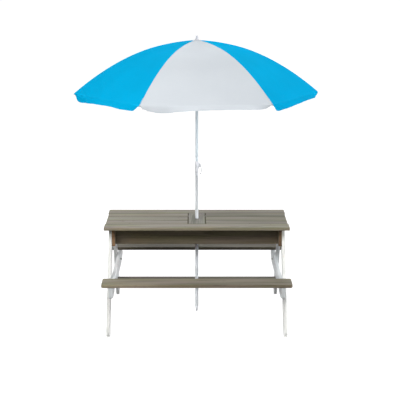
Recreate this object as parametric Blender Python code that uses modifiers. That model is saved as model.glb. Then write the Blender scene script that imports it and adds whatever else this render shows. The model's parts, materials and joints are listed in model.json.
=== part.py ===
"""Children's picnic table with two sand boxes under lift-off lids and a folding parasol.

Metres, +Z up. X runs along the table, the front bench is towards -Y, the ground is z = 0.
"""

import math

import bmesh
import bpy
from mathutils import Matrix, Vector

for old in list(bpy.data.objects):
    bpy.data.objects.remove(old, do_unlink=True)

# ---------------------------------------------------------------- driving dimensions
GAP = 0.0003  # left between pieces that touch
BOARD_T = 0.016  # every board is planed to this
BOARD_W = 0.088
SEAM = 0.002  # between tabletop boards
TOP_L = 0.940
LID_END = 0.4665  # the lid slats stop just short of the rails' ends
TOP_Z = 0.517  # upper face of the tabletop
TOP_UNDER = TOP_Z - BOARD_T
EDGE = 0.0015  # eased edge of a board

BOX_X = 0.417  # inner face of the box ends
BOX_END_Y = 0.1806
BOX_BOTTOM = 0.410
WALL_Y = 0.122  # middle of the long box walls
LEDGER_TOP = 0.494

LEG_X = BOX_X + BOARD_T + GAP  # inner face of the legs
LEG_SLOPE = 0.62  # how far a leg runs out for each metre down
LEG_FRONT_AT_475 = 0.158
LEG_ACROSS = 0.0824  # leg width along the ground
BEAM_BOTTOM, BEAM_TOP = 0.192, 0.265
BEAM_HALF = 0.4545
BEAM_TAPER_Y, BEAM_TAPER_Z = 0.372, 0.2115  # the underside rises from here to here at the beam's ends
BENCH_IN, BENCH_OUT = 0.335, 0.457
BENCH_CORNER_IN, BENCH_CORNER_OUT = 0.008, 0.012
STRETCHER_W = 0.088

POLE_R, POLE_BORE = 0.0081, 0.0073
POLE_HOLE = 0.0085
UPPER_R, UPPER_BORE = 0.0070, 0.0062
SPIKE_TIP_Z = 0.0135
COLLAR_Z0, COLLAR_Z1 = 0.745, 0.820
UPPER_Z0, UPPER_Z1 = 0.690, 1.4262

RIB_COUNT = 6
RIB_FIRST = -85.3  # degrees from straight ahead, positive to the right
RIB_R = 0.0016
RIB_TOP_Z = 1.437  # rib middle line where it would meet the pole axis
CLOTH_TOP_Z = 1.441
DOME = 0.677  # drop = DOME * radius^2
PIVOT_R = 0.0125
CLOTH_EDGE = 0.623
RIB_TIP = 0.6262
ATTACH_R = 0.235
RUNNER_PIVOT_Z = 1.256
STRETCHER_R = 0.0014
STRETCHER_SIDE = 0.004
FLAP = 0.032

STATIONS = [0.0125, 0.05, 0.10, 0.155, 0.21, 0.265, 0.32, 0.375, 0.43, 0.485, 0.54, 0.585, CLOTH_EDGE]

# ---------------------------------------------------------------- scene helpers
parts = bpy.data.collections.new("picnic_table_with_sandbox")
cutters = bpy.data.collections.new("cutters")
bpy.context.scene.collection.children.link(parts)
bpy.context.scene.collection.children.link(cutters)


def finish(name, rgb, roughness, metallic=0.0):
    m = bpy.data.materials.new(name)
    m.use_nodes = True
    shader = m.node_tree.nodes["Principled BSDF"]
    shader.inputs["Base Color"].default_value = (*rgb, 1.0)
    shader.inputs["Roughness"].default_value = roughness
    shader.inputs["Metallic"].default_value = metallic
    return m


WOOD = (0.27, 0.25, 0.20)
WHITE = (0.80, 0.79, 0.76)
STEEL = (0.55, 0.57, 0.58)
SILVER = (0.60, 0.64, 0.67)


def add(name, data, mat, collection=parts):
    o = bpy.data.objects.new(name, data)
    collection.objects.link(o)
    if mat is not None:
        data.materials.clear()
        data.materials.append(mat)
    if collection is cutters:
        o.hide_render = True
        o.display_type = "WIRE"
    return o


def easing(o, width=EDGE, segments=1, limit=40):
    b = o.modifiers.new("eased edges", "BEVEL")
    b.width = width
    b.segments = segments
    b.limit_method = "ANGLE"
    b.angle_limit = math.radians(limit)
    return b


def block(name, lo, hi, mat, ease=EDGE, collection=parts):
    """A board or bar between two corners, its origin in its middle."""
    bm = bmesh.new()
    bmesh.ops.create_cube(bm, size=1.0)
    size = Vector(hi) - Vector(lo)
    bmesh.ops.scale(bm, vec=size, verts=bm.verts)
    me = bpy.data.meshes.new(name)
    bm.to_mesh(me)
    bm.free()
    o = add(name, me, mat, collection)
    o.location = (Vector(hi) + Vector(lo)) / 2
    if ease:
        easing(o, ease)
    return o


def spun(name, profile, steps, mat, closed=False, location=(0, 0, 0), collection=parts, smooth=True):
    """A turned piece: (radius, height) points from the top down the outside, turned about Z."""
    bm = bmesh.new()
    vs = [bm.verts.new((r, 0, z)) for r, z in profile]
    for a, b in zip(vs, vs[1:]):
        bm.edges.new((a, b))
    if closed:
        bm.edges.new((vs[-1], vs[0]))
    me = bpy.data.meshes.new(name)
    bm.to_mesh(me)
    bm.free()
    o = add(name, me, mat, collection)
    o.location = location
    s = o.modifiers.new("turned", "SCREW")
    s.axis = "Z"
    s.angle = math.tau
    s.steps = steps
    s.render_steps = steps
    s.use_merge_vertices = True
    s.merge_threshold = 0.00005
    s.use_smooth_shade = smooth
    return o


def baked(o):
    """The mesh of an object with its modifiers, in its own frame."""
    bpy.context.view_layer.update()
    deps = bpy.context.evaluated_depsgraph_get()
    return bpy.data.meshes.new_from_object(o.evaluated_get(deps), depsgraph=deps)


def baked_spin(profile, steps, closed=False):
    o = spun("template", profile, steps, None, closed, collection=cutters)
    me = baked(o)
    bpy.data.objects.remove(o, do_unlink=True)
    return me


def group(name, template, places, mat, collection=parts):
    """Separate equal solids in one object: the template set at each placement matrix."""
    bm = bmesh.new()
    for place in places:
        one = template.copy()
        one.transform(place)
        bm.from_mesh(one)
        bpy.data.meshes.remove(one)
    me = bpy.data.meshes.new(name)
    bm.to_mesh(me)
    bm.free()
    for p in me.polygons:
        p.use_smooth = True
    return add(name, me, mat, collection)


def cut(o, cutter, operation="DIFFERENCE"):
    b = o.modifiers.new("cut " + cutter.name, "BOOLEAN")
    b.operation = operation
    b.solver = "EXACT"
    b.object = cutter
    return o


def outline(name, points, thickness, mat, chamfer=0.0, collection=parts):
    """A flat plate of that outline in its own XY plane, as a mesh."""
    c = bpy.data.curves.new(name, "CURVE")
    c.dimensions = "2D"
    c.fill_mode = "BOTH"
    c.extrude = thickness / 2 - chamfer
    c.bevel_depth = chamfer
    c.bevel_resolution = 0
    c.offset = -chamfer
    s = c.splines.new("POLY")
    s.points.add(len(points) - 1)
    for p, (x, y) in zip(s.points, points):
        p.co = (x, y, 0, 1)
    s.use_cyclic_u = True
    o = bpy.data.objects.new(name, c)
    cutters.objects.link(o)
    me = baked(o)
    bpy.data.objects.remove(o, do_unlink=True)
    bm = bmesh.new()
    bm.from_mesh(me)
    bmesh.ops.remove_doubles(bm, verts=bm.verts, dist=0.00001)
    bmesh.ops.recalc_face_normals(bm, faces=bm.faces)
    bm.to_mesh(me)
    bm.free()
    me.name = name
    return add(name, me, mat, collection)


def rounded(points, radii, steps):
    """The outline with each corner rounded to its radius."""
    out = []
    n = len(points)
    for i, (corner, radius) in enumerate(zip(points, radii)):
        p = Vector(corner)
        a = (Vector(points[i - 1]) - p).normalized()
        b = (Vector(points[(i + 1) % n]) - p).normalized()
        if radius <= 0:
            out.append((p.x, p.y))
            continue
        half = a.angle(b) / 2
        start = p + a * (radius / math.tan(half))
        end = p + b * (radius / math.tan(half))
        middle = p + (a + b).normalized() * (radius / math.sin(half))
        sweep = math.pi - 2 * half
        v = start - middle
        w = end - middle
        side = 1 if v.x * w.y - v.y * w.x > 0 else -1
        for k in range(steps + 1):
            t = side * sweep * k / steps
            out.append(
                (
                    middle.x + v.x * math.cos(t) - v.y * math.sin(t),
                    middle.y + v.x * math.sin(t) + v.y * math.cos(t),
                )
            )
    return out


def rod(name, points, radius, mat, widths=None, sides=8, collection=parts):
    """A round rod through the points, as a mesh, its ends closed."""
    c = bpy.data.curves.new(name, "CURVE")
    c.dimensions = "3D"
    c.bevel_depth = radius
    c.bevel_resolution = (sides - 4) // 2
    c.use_fill_caps = True
    c.resolution_u = 1
    s = c.splines.new("POLY")
    s.points.add(len(points) - 1)
    for i, (p, xyz) in enumerate(zip(s.points, points)):
        p.co = (*xyz, 1)
        p.radius = widths[i] if widths else 1.0
    o = bpy.data.objects.new(name, c)
    cutters.objects.link(o)
    me = baked(o)
    bpy.data.objects.remove(o, do_unlink=True)
    bm = bmesh.new()
    bm.from_mesh(me)
    bmesh.ops.remove_doubles(bm, verts=bm.verts, dist=0.00001)
    bmesh.ops.recalc_face_normals(bm, faces=bm.faces)
    bm.to_mesh(me)
    bm.free()
    me.name = name
    for p in me.polygons:
        p.use_smooth = True
    return add(name, me, mat, collection)


def pivot_to(o, at):
    """Moves the origin to a point without moving the piece."""
    shift = Vector(at) - o.location
    o.data.transform(Matrix.Translation(-shift))
    o.location = at


# ---------------------------------------------------------------- coach screws that join each leg to its beam
BOLT_Y, BOLT_Z = 0.268, 0.231
LEG_OUT = LEG_X + BOARD_T
FOUR = [(-1, -1, "front_left"), (1, -1, "front_right"), (-1, 1, "back_left"), (1, 1, "back_right")]


def placed(x, y, z, direction):
    """A placement that turns the template's +Z into the given direction."""
    turn = Vector((0, 0, 1)).rotation_difference(Vector(direction)).to_matrix().to_4x4()
    return Matrix.Translation((x, y, z)) @ turn


BOLT_PROFILE = [
    (0, 0.0030),
    (0.0045, 0.0024),
    (0.0068, 0.0006),
    (0.0068, 0),
    (0.0029, 0),
    (0.0029, -0.0270),
    (0, -0.0300),
]
hole_template = baked_spin([(0, 0.002), (0.0032, 0.002), (0.0032, -0.0305), (0, -0.0305)], 12)
bolt_places = []
for sx, sy, corner in FOUR:
    place = placed(sx * (LEG_OUT + GAP), sy * BOLT_Y, BOLT_Z, (sx, 0, 0))
    bolt_places.append(place)
    bolt = spun("leg_bolt_" + corner, BOLT_PROFILE, 12, finish("bolt_zinc_" + corner, STEEL, 0.35, 1.0))
    bolt.matrix_world = place
bolt_holes = group("bolt_holes", hole_template, bolt_places, None, cutters)


def drilled(o, *which):
    for cutter in which:
        cut(o, cutter)
    return o


# ---------------------------------------------------------------- tabletop
half_top = 2 * BOARD_W + 2 * SEAM + BOARD_W / 2
for side, sign in (("front", -1), ("back", 1)):
    y0, y1 = sorted((sign * (half_top - BOARD_W), sign * half_top))
    block(
        "rail_" + side,
        (-TOP_L / 2, y0, TOP_UNDER),
        (TOP_L / 2, y1, TOP_Z),
        finish("wood_rail_" + side, WOOD, 0.75),
    )

hub = block(
    "hub_board",
    (-BOARD_W / 2, -half_top + BOARD_W + SEAM, TOP_UNDER),
    (BOARD_W / 2, half_top - BOARD_W - SEAM, TOP_Z),
    finish("wood_hub_board", WOOD, 0.75),
)
pole_hole = spun(
    "pole_hole", [(0, 0.60), (POLE_HOLE, 0.60), (POLE_HOLE, 0.10), (0, 0.10)], 24, None, collection=cutters
)
drilled(hub, pole_hole)

# ---------------------------------------------------------------- lids
LID_IN = BOARD_W / 2 + SEAM
BATTEN_X = ((0.105, "in"), (0.355, "out"))
for side, sign in (("left", -1), ("right", 1)):
    for k, slat in ((-1, "front"), (0, "mid"), (1, "back")):
        x0, x1 = sorted((sign * LID_IN, sign * LID_END))
        y = k * (BOARD_W + SEAM)
        block(
            "lid_%s_slat_%s" % (side, slat),
            (x0, y - BOARD_W / 2, TOP_UNDER),
            (x1, y + BOARD_W / 2, TOP_Z),
            finish("wood_lid_%s_%s" % (side, slat), WOOD, 0.75),
        )
    for bx, where in BATTEN_X:
        x0, x1 = sorted((sign * (bx - 0.015), sign * (bx + 0.015)))
        block(
            "lid_%s_batten_%s" % (side, where),
            (x0, -0.090, TOP_UNDER - GAP - 0.014),
            (x1, 0.090, TOP_UNDER - GAP),
            finish("wood_batten_%s_%s" % (side, where), WOOD, 0.8),
        )

# ---------------------------------------------------------------- play box under the top
for side, sign in (("left", -1), ("right", 1)):
    x0, x1 = sorted((sign * BOX_X, sign * (BOX_X + BOARD_T)))
    block(
        "box_end_" + side,
        (x0, -BOX_END_Y, BOX_BOTTOM),
        (x1, BOX_END_Y, TOP_UNDER - GAP),
        finish("wood_box_end_" + side, WOOD, 0.8),
    )
for side, sign in (("front", -1), ("back", 1)):
    y0, y1 = sorted((sign * (WALL_Y - BOARD_T / 2), sign * (WALL_Y + BOARD_T / 2)))
    block(
        "box_wall_" + side,
        (-BOX_X + GAP, y0, BOX_BOTTOM),
        (BOX_X - GAP, y1, TOP_UNDER - GAP),
        finish("wood_box_wall_" + side, WOOD, 0.8),
    )
    y0, y1 = sorted((sign * 0.1017, sign * (WALL_Y - BOARD_T / 2 - GAP)))
    block(
        "tub_ledger_" + side,
        (-BOX_X + 2 * GAP, y0, LEDGER_TOP - 0.016),
        (BOX_X - 2 * GAP, y1, LEDGER_TOP),
        finish("wood_ledger_" + side, WOOD, 0.8),
        0.001,
    )


def rounded_box(name, lo, hi, radius, collection, mat=None):
    """A block whose upright edges are rounded, as a mesh."""
    bm = bmesh.new()
    bmesh.ops.create_cube(bm, size=1.0)
    bmesh.ops.scale(bm, vec=Vector(hi) - Vector(lo), verts=bm.verts)
    upright = [e for e in bm.edges if abs(e.verts[0].co.z - e.verts[1].co.z) > 1e-6]
    bmesh.ops.bevel(bm, geom=upright, offset=radius, offset_type="OFFSET", segments=3, profile=0.5, affect="EDGES")
    bmesh.ops.translate(bm, vec=(Vector(hi) + Vector(lo)) / 2, verts=bm.verts)
    me = bpy.data.meshes.new(name)
    bm.to_mesh(me)
    bm.free()
    return add(name, me, mat, collection)


for side, sign in (("left", -1), ("right", 1)):
    def span(a, b):
        return tuple(sorted((sign * a, sign * b)))

    rx, bx, cx = span(0.049, 0.413), span(0.0525, 0.4095), span(0.055, 0.407)
    rim_z = LEDGER_TOP + GAP
    tub = rounded_box(
        "tub_" + side, (rx[0], -0.1125, rim_z), (rx[1], 0.1125, rim_z + 0.0024), 0.012, parts,
        finish("tub_plastic_" + side, (0.05, 0.16, 0.42) if sign > 0 else (0.75, 0.12, 0.08), 0.45),
    )
    bowl = rounded_box("tub_bowl_" + side, (bx[0], -0.0985, 0.424), (bx[1], 0.0985, rim_z + 0.0012), 0.022, cutters)
    hollow = rounded_box("tub_hollow_" + side, (cx[0], -0.096, 0.4265), (cx[1], 0.096, 0.52), 0.020, cutters)
    cut(tub, bowl, "UNION")
    cut(tub, hollow)

# ---------------------------------------------------------------- legs, beams, benches, low board
def leg_front(z):
    return -(LEG_FRONT_AT_475 + LEG_SLOPE * (0.475 - z))


leg_top = TOP_UNDER - GAP
leg_points = rounded(
    [
        (leg_front(leg_top), leg_top),
        (leg_front(leg_top) + LEG_ACROSS, leg_top),
        (leg_front(0) + LEG_ACROSS, 0),
        (leg_front(0), 0),
    ],
    [0.0, 0.0, 0.030, 0.022],
    6,
)
UPRIGHT = Matrix(((0, 0, 1, 0), (1, 0, 0, 0), (0, 1, 0, 0), (0, 0, 0, 1)))  # own X, Y, Z become world Y, Z, X
for end, ey in (("front", 1), ("back", -1)):
    for side, sx in (("left", -1), ("right", 1)):
        points = [(ey * y, z) for y, z in leg_points]
        if ey < 0:
            points.reverse()
        leg = outline(
            "leg_%s_%s" % (end, side), points, BOARD_T, finish("leg_white_%s_%s" % (end, side), WHITE, 0.5), 0.0012
        )
        leg.matrix_world = Matrix.Translation((sx * (LEG_X + BOARD_T / 2), 0, 0)) @ UPRIGHT
        drilled(leg, bolt_holes)

beam_points = rounded(
    [
        (-BEAM_HALF, BEAM_TOP),
        (-BEAM_HALF, BEAM_TAPER_Z),
        (-BEAM_TAPER_Y, BEAM_BOTTOM),
        (BEAM_TAPER_Y, BEAM_BOTTOM),
        (BEAM_HALF, BEAM_TAPER_Z),
        (BEAM_HALF, BEAM_TOP),
    ],
    [0.0, 0.006, 0.0, 0.0, 0.006, 0.0],
    4,
)
for side, sx in (("left", -1), ("right", 1)):
    beam = outline("beam_" + side, beam_points, BOARD_T, finish("beam_white_" + side, WHITE, 0.5), 0.0012)
    beam.matrix_world = Matrix.Translation((sx * (BOX_X + BOARD_T / 2), 0, 0)) @ UPRIGHT
    drilled(beam, bolt_holes)

for side, sign in (("front", -1), ("back", 1)):
    inner, outer = sign * BENCH_IN, sign * BENCH_OUT
    corners = [(-TOP_L / 2, inner), (TOP_L / 2, inner), (TOP_L / 2, outer), (-TOP_L / 2, outer)]
    points = rounded(corners, [BENCH_CORNER_IN, BENCH_CORNER_IN, BENCH_CORNER_OUT, BENCH_CORNER_OUT], 6)
    if sign < 0:
        points.reverse()
    bench = outline("bench_" + side, points, BOARD_T, finish("wood_bench_" + side, WOOD, 0.75), 0.0015)
    bench.location = (0, 0, BEAM_TOP + GAP + BOARD_T / 2)

low = block(
    "stretcher_board",
    (-BOX_X - BOARD_T, -STRETCHER_W / 2, BEAM_BOTTOM - GAP - BOARD_T + 0.0003),
    (BOX_X + BOARD_T, STRETCHER_W / 2, BEAM_BOTTOM - GAP),
    finish("wood_stretcher_board", WOOD, 0.8),
)
drilled(low, pole_hole)

# ---------------------------------------------------------------- parasol pole
def tube(z0, z1, outer, inner):
    return [(outer, z1), (outer, z0), (inner, z0), (inner, z1)]


spun("pole_lower", tube(0.0448, 0.790, POLE_R, POLE_BORE), 24, finish("pole_lower_paint", SILVER, 0.35, 0.6), closed=True)
spun(
    "pole_spike",
    [
        (0, 0.066),
        (0.0069, 0.066),
        (0.0070, 0.0445),
        (POLE_R, 0.0445),
        (POLE_R, 0.0437),
        (0.0058, 0.0262),
        (0.0042, 0.0175),
        (0.0024, 0.0142),
        (0, SPIKE_TIP_Z),
    ],
    24,
    finish("spike_plastic", (0.62, 0.64, 0.65), 0.5),
)
spun(
    "pole_sleeve",
    tube(TOP_Z + GAP, 0.5665, 0.0090, POLE_R + GAP),
    24,
    finish("sleeve_plastic", (0.75, 0.77, 0.78), 0.45),
    closed=True,
)
collar = spun(
    "clamp_collar",
    [
        (0.0080, COLLAR_Z1),
        (0.0092, 0.806),
        (0.0097, 0.800),
        (0.0097, 0.748),
        (0.0091, COLLAR_Z0),
        (POLE_R + GAP, COLLAR_Z0),
        (POLE_R + GAP, 0.7905),
        (UPPER_R + GAP, 0.7905),
        (UPPER_R + GAP, COLLAR_Z1),
    ],
    24,
    finish("collar_plastic", (0.55, 0.58, 0.63), 0.45),
    closed=True,
)
LEVER_AT = Vector((0.0188, 0, 0.798))
ears = []
for y in (-0.0035, 0.0035):
    ear = outline("ear", [(0.0088, 0.781), (0.0215, 0.793), (0.0215, 0.802), (0.0088, 0.815)], 0.0020, None, 0.0, cutters)
    ear.data.transform(Matrix(((1, 0, 0, 0), (0, 0, -1, y), (0, 1, 0, 0), (0, 0, 0, 1))))
    ears.append(ear)
    cut(collar, ear, "UNION")
pin_bore = group(
    "pin_bore",
    baked_spin([(0, 0.006), (0.0015, 0.006), (0.0015, -0.006), (0, -0.006)], 12),
    [placed(*LEVER_AT, (0, 1, 0))],
    None,
    cutters,
)
cut(collar, pin_bore)
group(
    "lever_pin",
    baked_spin([(0, 0.0044), (0.0012, 0.0044), (0.0012, -0.0044), (0, -0.0044)], 12),
    [placed(*LEVER_AT, (0, 1, 0))],
    finish("pin_steel", STEEL, 0.3, 1.0),
)
lever = group(
    "clamp_lever",
    baked_spin([(0, 0.0020), (0.0030, 0.0020), (0.0030, -0.0020), (0, -0.0020)], 12),
    [placed(*LEVER_AT, (0, 1, 0))],
    finish("lever_plastic", (0.72, 0.73, 0.75), 0.45),
)
bow_points = [
    (0.0203, 0, 0.7960),
    (0.0222, 0, 0.7880),
    (0.0233, 0, 0.7780),
    (0.0234, 0, 0.7690),
    (0.0222, 0, 0.7595),
    (0.0192, 0, 0.7520),
    (0.0157, 0, 0.7478),
    (0.0130, 0, 0.7462),
]
bow = rod("bow", bow_points, 0.0020, None, collection=cutters)
cut(lever, bow, "UNION")
cut(lever, pin_bore)
pivot_to(lever, LEVER_AT)

spun(
    "guide_bushing",
    [(0, 0.712), (0.0058, 0.712), (0.0058, 0.6897), (0.0070, 0.6897), (0.0070, 0.668), (0, 0.668)],
    16,
    finish("bushing_plastic", (0.08, 0.08, 0.09), 0.5),
)
spun("pole_upper", tube(UPPER_Z0, UPPER_Z1, UPPER_R, UPPER_BORE), 24, finish("pole_upper_paint", SILVER, 0.35, 0.6), closed=True)

# ---------------------------------------------------------------- canopy frame
AZIMUTHS = [math.radians(RIB_FIRST + 360 / RIB_COUNT * k) for k in range(RIB_COUNT)]


def out_of(a):
    return Vector((math.sin(a), -math.cos(a), 0))


def along(a):
    return Vector((math.cos(a), math.sin(a), 0))


def frame(a):
    """Own X points out along the rib, own Y along the hinge, own Z up."""
    o, t = out_of(a), along(a)
    return Matrix(((o.x, t.x, 0, 0), (o.y, t.y, 0, 0), (0, 0, 1, 0), (0, 0, 0, 1)))


def slots(name, z0, z1, inner, side, half):
    box = bmesh.new()
    bmesh.ops.create_cube(box, size=1.0)
    bmesh.ops.scale(box, vec=(0.012, 2 * half, z1 - z0), verts=box.verts)
    bmesh.ops.translate(box, vec=(inner + 0.006, side, (z0 + z1) / 2), verts=box.verts)
    me = bpy.data.meshes.new(name)
    box.to_mesh(me)
    box.free()
    return group(name, me, [frame(a) for a in AZIMUTHS], None, cutters)


crown = spun(
    "crown",
    [
        (0, 1.430),
        (0.0033, 1.430),
        (0.0033, 1.439),
        (0.0160, 1.439),
        (0.0160, 1.4265),
        (0.0059, 1.4265),
        (0.0059, 1.412),
        (0, 1.412),
    ],
    24,
    finish("crown_plastic", (0.80, 0.81, 0.82), 0.45),
)
cut(crown, slots("crown_slots", 1.420, 1.450, 0.0085, 0.0, 0.0021))
spun(
    "finial",
    [
        (0, 1.4660),
        (0.0034, 1.4656),
        (0.0052, 1.4638),
        (0.0064, 1.4590),
        (0.0080, 1.4470),
        (0.0130, 1.4448),
        (0.0130, 1.4418),
        (0.0030, 1.4418),
        (0.0030, 1.4305),
        (0, 1.4305),
    ],
    20,
    finish("finial_plastic", (0.72, 0.74, 0.76), 0.4),
)
runner = spun(
    "runner",
    [
        (0.0170, 1.2620),
        (0.0170, 1.2470),
        (0.0110, 1.2440),
        (0.0110, 1.2240),
        (0.0125, 1.2220),
        (UPPER_R + GAP, 1.2220),
        (UPPER_R + GAP, 1.2620),
    ],
    24,
    finish("runner_plastic", (0.80, 0.81, 0.82), 0.45),
    closed=True,
)
cut(runner, slots("runner_slots", 1.2515, 1.270, 0.0095, STRETCHER_SIDE, 0.0021))


def rib_z(r):
    return RIB_TOP_Z - DOME * r * r


rib_mat_rgb = (0.50, 0.52, 0.54)
attach = Vector((ATTACH_R, 0, rib_z(ATTACH_R)))
low_pivot = Vector((PIVOT_R, 0, RUNNER_PIVOT_Z))
reach = attach - low_pivot
for k, a in enumerate(AZIMUTHS, 1):
    # the rib: a round rod that ends in a small ball under the cloth's corner
    line = [(r, 0, rib_z(r)) for r in STATIONS]
    slope = 2 * DOME * PIVOT_R
    line[0] = (PIVOT_R - 0.0015, 0, rib_z(PIVOT_R) + 0.0015 * slope)
    widths = [1.0] * (len(line) - 1) + [1.0]
    line[-1] = (RIB_TIP - 0.0077, 0, rib_z(RIB_TIP - 0.0077))
    for short, w in ((0.0056, 1.55), (0.0034, 1.85), (0.0012, 1.55), (0.0, 0.9)):
        line.append((RIB_TIP - short, 0, rib_z(RIB_TIP - short)))
        widths.append(w)
    rib = rod("rib_%d" % k, line, RIB_R, finish("rib_steel_%d" % k, rib_mat_rgb, 0.35, 1.0), widths)
    rib.data.transform(frame(a))
    pivot_to(rib, out_of(a) * PIVOT_R + Vector((0, 0, rib_z(PIVOT_R))))

    start = low_pivot - reach.normalized() * 0.0015
    end = attach - reach.normalized() * 0.0010
    side = Vector((0, STRETCHER_SIDE, 0))
    st = rod(
        "stretcher_%d" % k,
        [start + side, start.lerp(end, 0.5) + side, end + side],
        STRETCHER_R,
        finish("stretcher_steel_%d" % k, rib_mat_rgb, 0.35, 1.0),
    )
    st.data.transform(frame(a))
    pivot_to(st, out_of(a) * PIVOT_R + Vector((0, 0, RUNNER_PIVOT_Z)))

# ---------------------------------------------------------------- canopy: six flat-sided dome panels with a hem flap
ACROSS = [0.0, 0.05, 0.35, 0.65, 0.95, 1.0]
rows = [0.0038] + STATIONS


def cloth_point(r, t, a0, a1, drop=0.0, out=0.0):
    p = (out_of(a0) * r).lerp(out_of(a1) * r, t)
    middle = out_of((a0 + a1) / 2)
    return Vector((p.x, p.y, CLOTH_TOP_Z - DOME * r * r - drop)) + middle * out


cloth = bmesh.new()
for a0 in AZIMUTHS:
    a1 = a0 + math.tau / RIB_COUNT
    made = bmesh.ops.create_grid(cloth, x_segments=len(ACROSS) - 1, y_segments=len(rows) - 1, size=1.0)
    for v in made["verts"]:
        i = round((v.co.x + 1) / 2 * (len(ACROSS) - 1))
        j = round((v.co.y + 1) / 2 * (len(rows) - 1))
        v.co = cloth_point(rows[j], ACROSS[i], a0, a1)
    inner = ACROSS[1:-1]
    made = bmesh.ops.create_grid(cloth, x_segments=len(inner) - 1, y_segments=2, size=1.0)
    for v in made["verts"]:
        i = round((v.co.x + 1) / 2 * (len(inner) - 1))
        j = round((v.co.y + 1) / 2 * 2)
        v.co = cloth_point(CLOTH_EDGE, inner[i], a0, a1, FLAP * (1 - j / 2), 0.003 * (1 - j / 2))
bmesh.ops.remove_doubles(cloth, verts=cloth.verts, dist=0.00005)
bmesh.ops.recalc_face_normals(cloth, faces=cloth.faces)
top = max(cloth.faces, key=lambda f: f.calc_center_median().z)
if top.normal.z < 0:
    bmesh.ops.reverse_faces(cloth, faces=cloth.faces)
me = bpy.data.meshes.new("canopy")
cloth.to_mesh(me)
cloth.free()
canopy = add("canopy", me, finish("canopy_cloth", (0.02, 0.42, 0.80), 0.8))
s = canopy.modifiers.new("cloth thickness", "SOLIDIFY")
s.thickness = 0.0008
s.offset = 0.0
s.use_even_offset = False
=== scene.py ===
import json
import math

import bmesh
import bpy
import numpy as np
from mathutils import Matrix, Vector, noise

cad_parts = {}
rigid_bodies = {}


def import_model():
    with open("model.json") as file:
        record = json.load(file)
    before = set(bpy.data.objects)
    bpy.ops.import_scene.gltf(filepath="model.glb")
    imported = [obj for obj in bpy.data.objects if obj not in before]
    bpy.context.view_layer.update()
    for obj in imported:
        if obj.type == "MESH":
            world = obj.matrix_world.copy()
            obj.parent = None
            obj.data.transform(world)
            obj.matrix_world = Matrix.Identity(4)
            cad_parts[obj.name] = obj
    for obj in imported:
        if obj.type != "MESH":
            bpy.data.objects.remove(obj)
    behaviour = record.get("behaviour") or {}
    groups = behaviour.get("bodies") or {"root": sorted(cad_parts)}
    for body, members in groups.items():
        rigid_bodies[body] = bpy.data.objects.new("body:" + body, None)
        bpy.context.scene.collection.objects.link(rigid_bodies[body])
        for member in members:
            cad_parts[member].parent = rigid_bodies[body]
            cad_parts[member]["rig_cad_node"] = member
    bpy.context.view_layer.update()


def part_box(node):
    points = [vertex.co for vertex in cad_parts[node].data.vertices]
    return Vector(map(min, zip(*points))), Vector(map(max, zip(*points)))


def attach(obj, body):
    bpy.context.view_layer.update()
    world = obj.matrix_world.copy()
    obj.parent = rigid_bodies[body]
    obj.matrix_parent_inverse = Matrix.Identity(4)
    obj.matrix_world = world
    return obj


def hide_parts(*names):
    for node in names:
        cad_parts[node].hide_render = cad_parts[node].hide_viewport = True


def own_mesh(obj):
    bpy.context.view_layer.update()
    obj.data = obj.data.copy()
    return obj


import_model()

NODES = {o["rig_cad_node"]: o for o in bpy.context.scene.objects if "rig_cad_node" in o}
SCENE = bpy.context.scene
SCENE.view_settings.view_transform = "Standard"
LEGS = ("leg_front_left", "leg_front_right", "leg_back_left", "leg_back_right")
POLE_PARTS = ("pole_lower", "pole_upper", "pole_spike", "pole_sleeve", "clamp_collar", "lever_pin", "guide_bushing")


def colour(text, a=1.0):
    """The linear colour of six hex digits."""
    parts = [int(text[i : i + 2], 16) / 255 for i in (0, 2, 4)]
    return tuple(c / 12.92 if c <= 0.04045 else ((c + 0.055) / 1.055) ** 2.4 for c in parts) + (a,)


# ------------------------------------------------------------------ camera, floor, light
def make_camera():
    """The photograph's view: 18.4 degrees wide, from 1.88 m up and 6.3 m in front."""
    yaw, roll, pitch, focal = 0.00403, 0.00084, 0.19773, 1237.38
    level = Vector((math.sin(yaw), math.cos(yaw), 0))
    side = Vector((math.cos(yaw), -math.sin(yaw), 0))
    ahead = level * math.cos(pitch) - Vector((0, 0, 1)) * math.sin(pitch)
    rise = level * math.sin(pitch) + Vector((0, 0, 1)) * math.cos(pitch)
    right = side * math.cos(roll) + rise * math.sin(roll)
    up = rise * math.cos(roll) - side * math.sin(roll)
    data = bpy.data.cameras.new("camera")
    data.sensor_fit, data.sensor_width, data.lens = "HORIZONTAL", 36.0, focal / 400 * 36
    data.clip_start, data.clip_end = 0.05, 300
    cam = bpy.data.objects.new("camera", data)
    SCENE.collection.objects.link(cam)
    turn = Matrix((right, up, -ahead)).transposed().to_4x4()
    cam.matrix_world = Matrix.Translation((-0.00872, -6.3192, 1.88049)) @ turn
    SCENE.camera = cam


def plain(name, grey, glow):
    m = bpy.data.materials.new(name)
    m.use_nodes = True
    p = m.node_tree.nodes["Principled BSDF"]
    p.inputs["Base Color"].default_value = (grey, grey, grey, 1)
    p.inputs["Roughness"].default_value = 0.9
    p.inputs["Specular IOR Level"].default_value = 0.0
    p.inputs["Emission Color"].default_value = (1, 1, 1, 1)
    p.inputs["Emission Strength"].default_value = glow
    return m


def stage_piece(name, bm, material):
    me = bpy.data.meshes.new(name)
    bm.to_mesh(me)
    bm.free()
    me.materials.append(material)
    o = bpy.data.objects.new(name, me)
    SCENE.collection.objects.link(o)
    o.visible_diffuse = o.visible_transmission = False
    return o


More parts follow.
